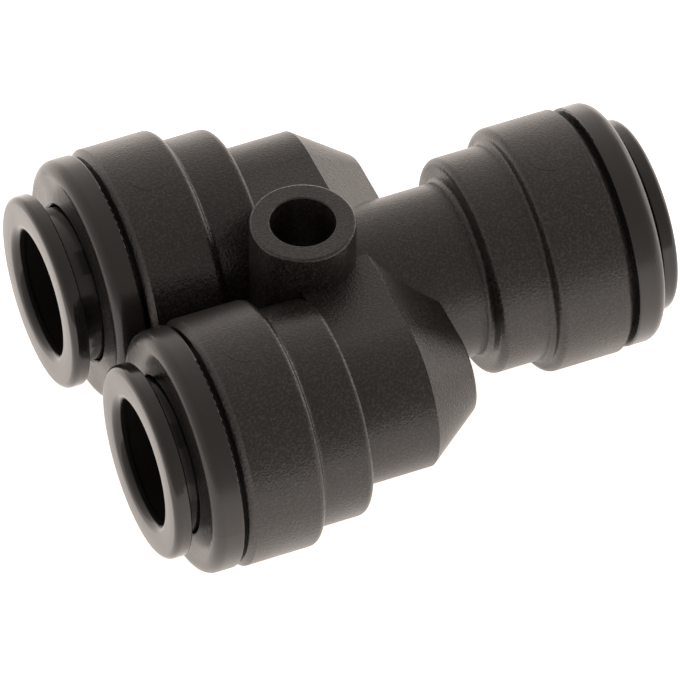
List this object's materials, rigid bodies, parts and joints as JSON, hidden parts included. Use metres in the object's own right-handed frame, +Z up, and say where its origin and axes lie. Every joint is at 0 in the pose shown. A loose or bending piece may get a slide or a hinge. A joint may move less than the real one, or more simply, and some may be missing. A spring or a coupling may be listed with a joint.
{
  "type": "tubing y connector",
  "caption": "Push-in Y connector that splits a tube into parallel branches, with release collets and a screw hole between the outlets.",
  "frame": {"origin": "on the axis of the screw hole, at the underside of its pillar", "axes": "+X from the outlets towards the inlet, +Y to the rear outlet, +Z up along the screw hole"},
  "size_m": [0.0384, 0.0322, 0.0169],
  "materials": {
    "body_plastic": "fine spark-eroded black",
    "cap_plastic": "satin black",
    "collet_plastic": "satin black",
    "stainless_teeth": "bright sheet",
    "seal_rubber": "matt"
  },
  "bodies": {
    "housing": {"y_body": "body_plastic", "end_cap_inlet": "cap_plastic", "end_cap_outlet_front": "cap_plastic", "end_cap_outlet_rear": "cap_plastic", "o_ring_inlet": "seal_rubber", "o_ring_outlet_front": "seal_rubber", "o_ring_outlet_rear": "seal_rubber"},
    "collet_inlet": {"collet_inlet": "collet_plastic", "grip_teeth_inlet": "stainless_teeth"},
    "collet_outlet_front": {"collet_outlet_front": "collet_plastic", "grip_teeth_outlet_front": "stainless_teeth"},
    "collet_outlet_rear": {"collet_outlet_rear": "collet_plastic", "grip_teeth_outlet_rear": "stainless_teeth"}
  },
  "joints": [
    {"name": "collet_inlet_slide", "type": "slide", "parent": "housing", "child": "collet_inlet", "axis": [-1, 0, 0], "range_m": [-0.0011, 0.0003]},
    {"name": "collet_outlet_front_slide", "type": "slide", "parent": "housing", "child": "collet_outlet_front", "axis": [1, 0, 0], "range_m": [-0.00055, 0.00085]},
    {"name": "collet_outlet_rear_slide", "type": "slide", "parent": "housing", "child": "collet_outlet_rear", "axis": [1, 0, 0], "range_m": [-0.00007, 0.00133]}
  ]
}
